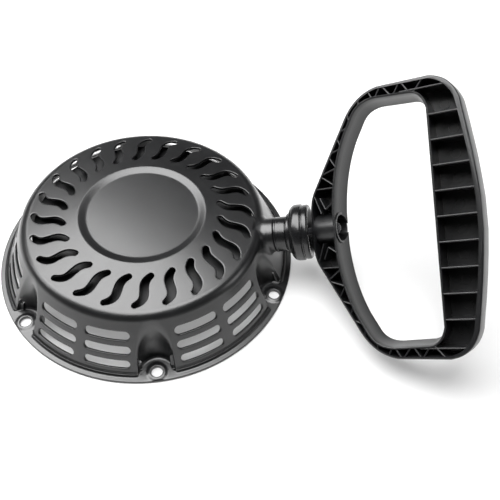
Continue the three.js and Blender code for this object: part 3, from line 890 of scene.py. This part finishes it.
# ---- materials ----------------------------------------------------------------------------------
def material(name, color, rough, metal=0.0, specular=0.5, coat=0.0, coat_rough=0.2,
             grain_scale=900.0, bump=0.0, dust=0.0):
    """Principled finish with mottled colour and roughness, fine grain bump and faint dust."""
    mat = bpy.data.materials.new(name)
    mat.use_nodes = True
    nt = mat.node_tree
    bsdf = nt.nodes["Principled BSDF"]
    bsdf.inputs["Metallic"].default_value = metal
    bsdf.inputs["Specular IOR Level"].default_value = specular
    bsdf.inputs["Coat Weight"].default_value = coat
    bsdf.inputs["Coat Roughness"].default_value = coat_rough
    coords = nt.nodes.new("ShaderNodeTexCoord")

    def noise(scale, detail):
        node = nt.nodes.new("ShaderNodeTexNoise")
        node.inputs["Scale"].default_value = scale
        node.inputs["Detail"].default_value = detail
        nt.links.new(coords.outputs["Object"], node.inputs["Vector"])
        return node

    def ramp(source, lo, hi, c0, c1):
        node = nt.nodes.new("ShaderNodeValToRGB")
        node.color_ramp.elements[0].position = lo
        node.color_ramp.elements[1].position = hi
        node.color_ramp.elements[0].color = (*c0, 1)
        node.color_ramp.elements[1].color = (*c1, 1)
        nt.links.new(source.outputs["Fac"], node.inputs["Fac"])
        return node

    base = np.array(color)
    tint = ramp(noise(45.0, 4.0), 0.35, 0.7, tuple(base * 0.86), tuple(base * 1.14 + 0.0015))
    nt.links.new(tint.outputs["Color"], bsdf.inputs["Base Color"])
    rough_map = nt.nodes.new("ShaderNodeMapRange")
    rough_map.inputs["To Min"].default_value = max(0.02, rough - 0.035)
    rough_map.inputs["To Max"].default_value = rough + 0.045
    nt.links.new(noise(160.0, 3.0).outputs["Fac"], rough_map.inputs["Value"])
    nt.links.new(rough_map.outputs["Result"], bsdf.inputs["Roughness"])
    if bump:
        fine = noise(grain_scale, 2.0)
        node = nt.nodes.new("ShaderNodeBump")
        node.inputs["Strength"].default_value = bump
        node.inputs["Distance"].default_value = 0.00012
        nt.links.new(fine.outputs["Fac"], node.inputs["Height"])
        nt.links.new(node.outputs["Normal"], bsdf.inputs["Normal"])
    if dust:
        mix = nt.nodes.new("ShaderNodeMix")
        mix.data_type = "RGBA"
        specks = ramp(noise(620.0, 6.0), 0.62, 0.8, (0, 0, 0), (1, 1, 1))
        amount = nt.nodes.new("ShaderNodeMath")
        amount.operation = "MULTIPLY"
        amount.inputs[1].default_value = dust
        nt.links.new(specks.outputs["Color"], amount.inputs[0])
        nt.links.new(amount.outputs[0], mix.inputs["Factor"])
        nt.links.new(tint.outputs["Color"], mix.inputs["A"])
        mix.inputs["B"].default_value = (0.16, 0.16, 0.165, 1)
        nt.links.new(mix.outputs["Result"], bsdf.inputs["Base Color"])
    return mat


def rope_material():
    """Dull braid with a diagonal twist in its bump."""
    mat = material("rope_braid", (0.028, 0.028, 0.032), 0.8, specular=0.25)
    nt = mat.node_tree
    bsdf = nt.nodes["Principled BSDF"]
    coords = nt.nodes.new("ShaderNodeTexCoord")
    wave = nt.nodes.new("ShaderNodeTexWave")
    wave.wave_type = "BANDS"
    wave.bands_direction = "DIAGONAL"
    wave.inputs["Scale"].default_value = 420.0
    wave.inputs["Distortion"].default_value = 1.5
    nt.links.new(coords.outputs["Object"], wave.inputs["Vector"])
    node = nt.nodes.new("ShaderNodeBump")
    node.inputs["Strength"].default_value = 0.8
    node.inputs["Distance"].default_value = 0.0004
    nt.links.new(wave.outputs["Fac"], node.inputs["Height"])
    nt.links.new(node.outputs["Normal"], bsdf.inputs["Normal"])
    bsdf.inputs["Sheen Weight"].default_value = 0.3
    return mat


PAINT = material("powder_coat_black", (0.0055, 0.0057, 0.0062), 0.31, specular=0.62, coat=0.2,
                 coat_rough=0.18, bump=0.2, grain_scale=1500.0, dust=0.05)
GUIDE_MAT = material("guide_black", (0.005, 0.0052, 0.0057), 0.24, specular=0.6, bump=0.12)
HANDLE_MAT = material("handle_black", (0.0065, 0.0067, 0.0073), 0.33, specular=0.6, bump=0.35,
                      grain_scale=1100.0, dust=0.08)
REEL_MAT = material("reel_black", (0.006, 0.0062, 0.0068), 0.5, specular=0.35, bump=0.3)
ZINC_MAT = material("zinc_steel", (0.55, 0.56, 0.57), 0.36, metal=1.0, bump=0.1)
SPRING_MAT = material("spring_steel", (0.34, 0.35, 0.38), 0.28, metal=1.0, bump=0.1)
BRONZE_MAT = material("sintered_bronze", (0.5, 0.34, 0.15), 0.4, metal=1.0, bump=0.3)
ROPE_MAT = rope_material()
SLOT_MATERIALS = {
    "housing_paint": PAINT, "guide_plastic": GUIDE_MAT, "handle_plastic": HANDLE_MAT,
    "reel_plastic": REEL_MAT, "zinc_steel": ZINC_MAT, "spring_steel": SPRING_MAT,
    "bronze": BRONZE_MAT, "rope": ROPE_MAT,
}


def paint(obj, mat):
    """One material all over."""
    obj.data.materials.clear()
    obj.data.materials.append(mat)


NODE_SLOT = {s["node"]: s["material_slot"] for s in frame["record"]["subparts"]}
for node_name, node_obj in NODES.items():
    mat = SLOT_MATERIALS[NODE_SLOT[node_name]]
    if node_obj.material_slots:
        for item in node_obj.material_slots:
            item.material = mat
    else:
        node_obj.data.materials.append(mat)


def piece(obj, body, slot_name, *nodes):
    """Rigid piece on a body, in place of the named nodes."""
    paint(obj, SLOT_MATERIALS[slot_name])
    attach(obj, body)
    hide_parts(*nodes)


# ---- build the pieces ---------------------------------------------------------------------------
shell = make_mesh("housing_visual", *joined(housing_mesh(), boss_mesh()), sharp_deg=42)
piece(shell, "housing", "housing_paint", "housing")

guide_data = lathe_data(
    round_corners(guide_profile(), 0.45), 96, GUIDE_ROOT, GUIDE_SIDE, GUIDE_UP, GUIDE_E)
guide = make_mesh("rope_guide_visual", *guide_data, sharp_deg=45)
piece(guide, "housing", "guide_plastic", "rope_guide")

piece(handle_object(), "handle", "handle_plastic", "handle")

winding = make_mesh("rope_winding_visual", *tube_data(winding_points(), ROPE_R, 12), sharp_deg=0)
piece(winding, "reel", "rope", "rope_winding")

lead = make_mesh("rope_lead_visual", *tube_data(catmull(lead_points()), ROPE_R, 16), sharp_deg=0)
paint(lead, ROPE_MAT)
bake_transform(lead)
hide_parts("rope_lead")

# ---- stage --------------------------------------------------------------------------------------
def white_floor():
    """Pale matt floor with a little light of its own, which keeps the shadow soft."""
    bpy.ops.mesh.primitive_plane_add(size=6.0, location=(0, 0, -0.0002))
    floor = bpy.context.object
    floor.name = "floor"
    mat = bpy.data.materials.new("floor_white")
    mat.use_nodes = True
    bsdf = mat.node_tree.nodes["Principled BSDF"]
    bsdf.inputs["Base Color"].default_value = (0.56, 0.56, 0.56, 1)
    bsdf.inputs["Roughness"].default_value = 0.9
    bsdf.inputs["Specular IOR Level"].default_value = 0.1
    bsdf.inputs["Emission Color"].default_value = (1, 1, 1, 1)
    bsdf.inputs["Emission Strength"].default_value = 0.28
    floor.data.materials.append(mat)
    return floor


def softbox(name, place, target, size_x, size_y, power, turn=0):
    """Rectangular light aimed at a target and turned about its own axis by turn degrees."""
    light = bpy.data.lights.new(name, "AREA")
    light.shape = "RECTANGLE"
    light.size, light.size_y = size_x, size_y
    light.energy = power
    obj = add_object(name, light)
    obj.location = place
    obj.rotation_mode = "QUATERNION"
    aim = (Vector(target) - Vector(place)).to_track_quat("-Z", "Y")
    obj.rotation_quaternion = aim @ Quaternion((0, 0, 1), math.radians(turn))


def studio_world():
    """Pale horizon that falls off to a dark ceiling, so that only the softboxes show from above."""
    world = bpy.data.worlds.new("studio")
    world.use_nodes = True
    nt = world.node_tree
    coords = nt.nodes.new("ShaderNodeTexCoord")
    split = nt.nodes.new("ShaderNodeSeparateXYZ")
    ramp = nt.nodes.new("ShaderNodeValToRGB")
    ramp.color_ramp.elements[0].position = 0.12
    ramp.color_ramp.elements[0].color = (0.34, 0.34, 0.34, 1)
    ramp.color_ramp.elements[1].position = 0.38
    ramp.color_ramp.elements[1].color = (0.02, 0.02, 0.02, 1)
    nt.links.new(coords.outputs["Generated"], split.inputs["Vector"])
    nt.links.new(split.outputs["Z"], ramp.inputs["Fac"])
    nt.links.new(ramp.outputs["Color"], nt.nodes["Background"].inputs["Color"])
    nt.nodes["Background"].inputs["Strength"].default_value = 1.0
    return world


floor = white_floor()
softbox("key_overhead", (-0.29, 0.346, 1.2), (-0.29, 0.346, 0), 1.0, 1.5, 42, turn=34)
softbox("edge_left", (-1.0, 0.3, 1.0), (0.1, -0.03, 0.05), 0.5, 0.6, 6)
softbox("fill_right", (1.7, -0.6, 0.9), (0, 0, 0.05), 0.6, 0.8, 5)
bpy.context.scene.world = studio_world()
bpy.context.scene.view_settings.view_transform = "Standard"
bpy.context.scene.view_settings.look = "None"

# ---- camera -------------------------------------------------------------------------------------
CAM_AT = (0.0, -0.27212, 0.34912)
CAM_PAN, CAM_TILT, CAM_ROLL = 0.2507, -0.9115, 0.0472
SENSOR, FOCAL = 36.0, 47.1276


def add_camera():
    """Camera turned by pan from +Y towards +X, tilted up from level and rolled, in radians."""
    data = bpy.data.cameras.new("camera")
    data.sensor_width = SENSOR
    data.lens = FOCAL
    data.clip_start, data.clip_end = 0.01, 20.0
    obj = add_object("camera", data)
    forward = np.array((math.sin(CAM_PAN), math.cos(CAM_PAN), 0.0))
    right = np.array((math.cos(CAM_PAN), -math.sin(CAM_PAN), 0.0))
    up = np.array((0, 0, 1.0))
    view_dir = forward * math.cos(CAM_TILT) + up * math.sin(CAM_TILT)
    view_up = up * math.cos(CAM_TILT) - forward * math.sin(CAM_TILT)
    cr, sr = math.cos(CAM_ROLL), math.sin(CAM_ROLL)
    cam_right = right * cr + view_up * sr
    cam_up = view_up * cr - right * sr
    obj.matrix_world = Matrix((
        (cam_right[0], cam_up[0], -view_dir[0], CAM_AT[0]),
        (cam_right[1], cam_up[1], -view_dir[1], CAM_AT[1]),
        (cam_right[2], cam_up[2], -view_dir[2], CAM_AT[2]),
        (0, 0, 0, 1)))
    return obj


bpy.context.scene.camera = add_camera()
